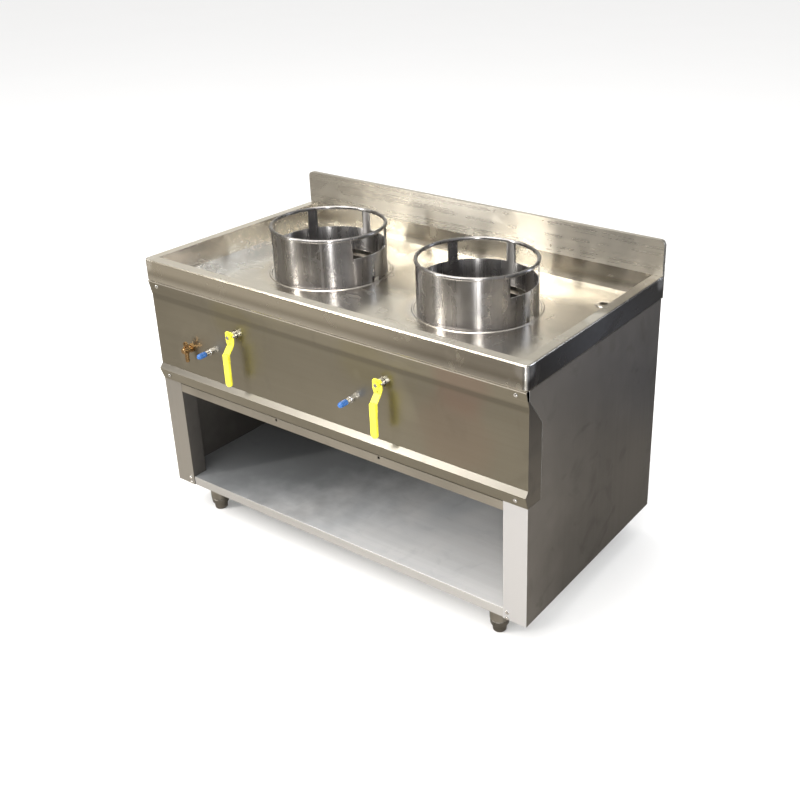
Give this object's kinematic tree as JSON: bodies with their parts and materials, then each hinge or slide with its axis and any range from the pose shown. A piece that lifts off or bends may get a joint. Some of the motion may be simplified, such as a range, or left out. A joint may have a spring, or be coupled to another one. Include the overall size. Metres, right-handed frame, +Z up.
{
  "type": "wok range",
  "caption": "Free-standing stainless wok range with a recessed worktop, raised back, lift-off wok rings over gas burners, lever valves on the front and an open cupboard below.",
  "frame": {"origin": "on the floor under the middle of the part's bounding box", "axes": "+X to the cook's right along the worktop, +Y to the raised back, +Z up; the cook stands on the -Y side"},
  "size_m": [1.2, 0.6844, 0.859],
  "materials": {
    "top": "brushed stainless sheet",
    "panel": "brushed stainless sheet, duller",
    "side": "brushed stainless sheet",
    "ring": "polished stainless",
    "inner": "plain stainless, mill finish",
    "cast": "raw casting",
    "pipe": "plain steel pipe",
    "lever": "dipped in yellow vinyl",
    "knob": "moulded",
    "fitting": "chromed brass",
    "brass": "cast and turned"
  },
  "bodies": {
    "range": {"worktop": "top", "backsplash": "top", "front_panel": "panel", "cross_rail": "panel", "base_shelf": "panel", "side_panel_left": "side", "side_panel_right": "side", "back_panel": "side", "burner_tray": "inner", "base_rail_front": "inner", "base_rail_rear": "inner", "burner_well_left": "inner", "burner_well_right": "inner", "burner_bracket_left": "inner", "burner_bracket_right": "inner", "leg_front_left": "inner", "leg_front_right": "inner", "leg_rear_left": "inner", "leg_rear_right": "inner", "burner_head_left": "cast", "burner_head_right": "cast", "mixing_tube_left": "cast", "mixing_tube_right": "cast", "gas_manifold": "pipe", "gas_pipe_left": "pipe", "gas_pipe_right": "pipe", "drain_pipe": "pipe", "valve_body_left": "fitting", "valve_body_right": "fitting", "pilot_valve_left": "fitting", "pilot_valve_right": "fitting", "base_screw_low_left": "fitting", "base_screw_low_right": "fitting", "base_screw_high_left": "fitting", "base_screw_high_right": "fitting", "panel_screw_top_left": "fitting", "panel_screw_top_right": "fitting", "panel_screw_low_left": "fitting", "panel_screw_low_right": "fitting", "water_cock": "brass", "pilot_tube_left": "brass", "pilot_tube_right": "brass", "water_pipe": "brass"},
    "ring_left": {"wok_ring_left": "ring"},
    "ring_right": {"wok_ring_right": "ring"},
    "lever_left": {"valve_lever_left": "lever", "valve_stem_left": "fitting", "lever_nut_left": "fitting"},
    "lever_right": {"valve_lever_right": "lever", "valve_stem_right": "fitting", "lever_nut_right": "fitting"},
    "knob_left": {"pilot_knob_left": "knob"},
    "knob_right": {"pilot_knob_right": "knob"},
    "cock_key": {"water_cock_key": "brass"},
    "strainer": {"drain_strainer": "ring"},
    "foot_front_left_body": {"foot_front_left": "inner"},
    "foot_front_right_body": {"foot_front_right": "inner"},
    "foot_rear_left_body": {"foot_rear_left": "inner"},
    "foot_rear_right_body": {"foot_rear_right": "inner"}
  },
  "joints": [
    {"name": "ring_lift_left", "type": "slide", "parent": "range", "child": "ring_left", "axis": [0, 0, 1], "range_m": [0, 0.25]},
    {"name": "valve_turn_left", "type": "hinge", "parent": "range", "child": "lever_left", "pos_m": [-0.291, -0.31215, 0.615], "axis": [0, -1, 0], "range_deg": [0, 90]},
    {"name": "pilot_turn_left", "type": "hinge", "parent": "range", "child": "knob_left", "pos_m": [-0.389, -0.31615, 0.543], "axis": [0, -1, 0], "range_deg": [0, 90]},
    {"name": "ring_lift_right", "type": "slide", "parent": "range", "child": "ring_right", "axis": [0, 0, 1], "range_m": [0, 0.25]},
    {"name": "valve_turn_right", "type": "hinge", "parent": "range", "child": "lever_right", "pos_m": [0.195, -0.31215, 0.615], "axis": [0, -1, 0], "range_deg": [0, 90]},
    {"name": "pilot_turn_right", "type": "hinge", "parent": "range", "child": "knob_right", "pos_m": [0.097, -0.31615, 0.543], "axis": [0, -1, 0], "range_deg": [0, 90]},
    {"name": "water_turn", "type": "hinge", "parent": "range", "child": "cock_key", "pos_m": [-0.467, -0.31385, 0.534], "axis": [0, 0, 1], "range_deg": [0, 90]},
    {"name": "strainer_lift", "type": "slide", "parent": "range", "child": "strainer", "axis": [0, 0, 1], "range_m": [0, 0.1]},
    {"name": "foot_height_front_left", "type": "slide", "parent": "range", "child": "foot_front_left_body", "axis": [0, 0, -1], "range_m": [0, 0.02]},
    {"name": "foot_height_front_right", "type": "slide", "parent": "range", "child": "foot_front_right_body", "axis": [0, 0, -1], "range_m": [0, 0.02]},
    {"name": "foot_height_rear_left", "type": "slide", "parent": "range", "child": "foot_rear_left_body", "axis": [0, 0, -1], "range_m": [0, 0.02]},
    {"name": "foot_height_rear_right", "type": "slide", "parent": "range", "child": "foot_rear_right_body", "axis": [0, 0, -1], "range_m": [0, 0.02]}
  ]
}
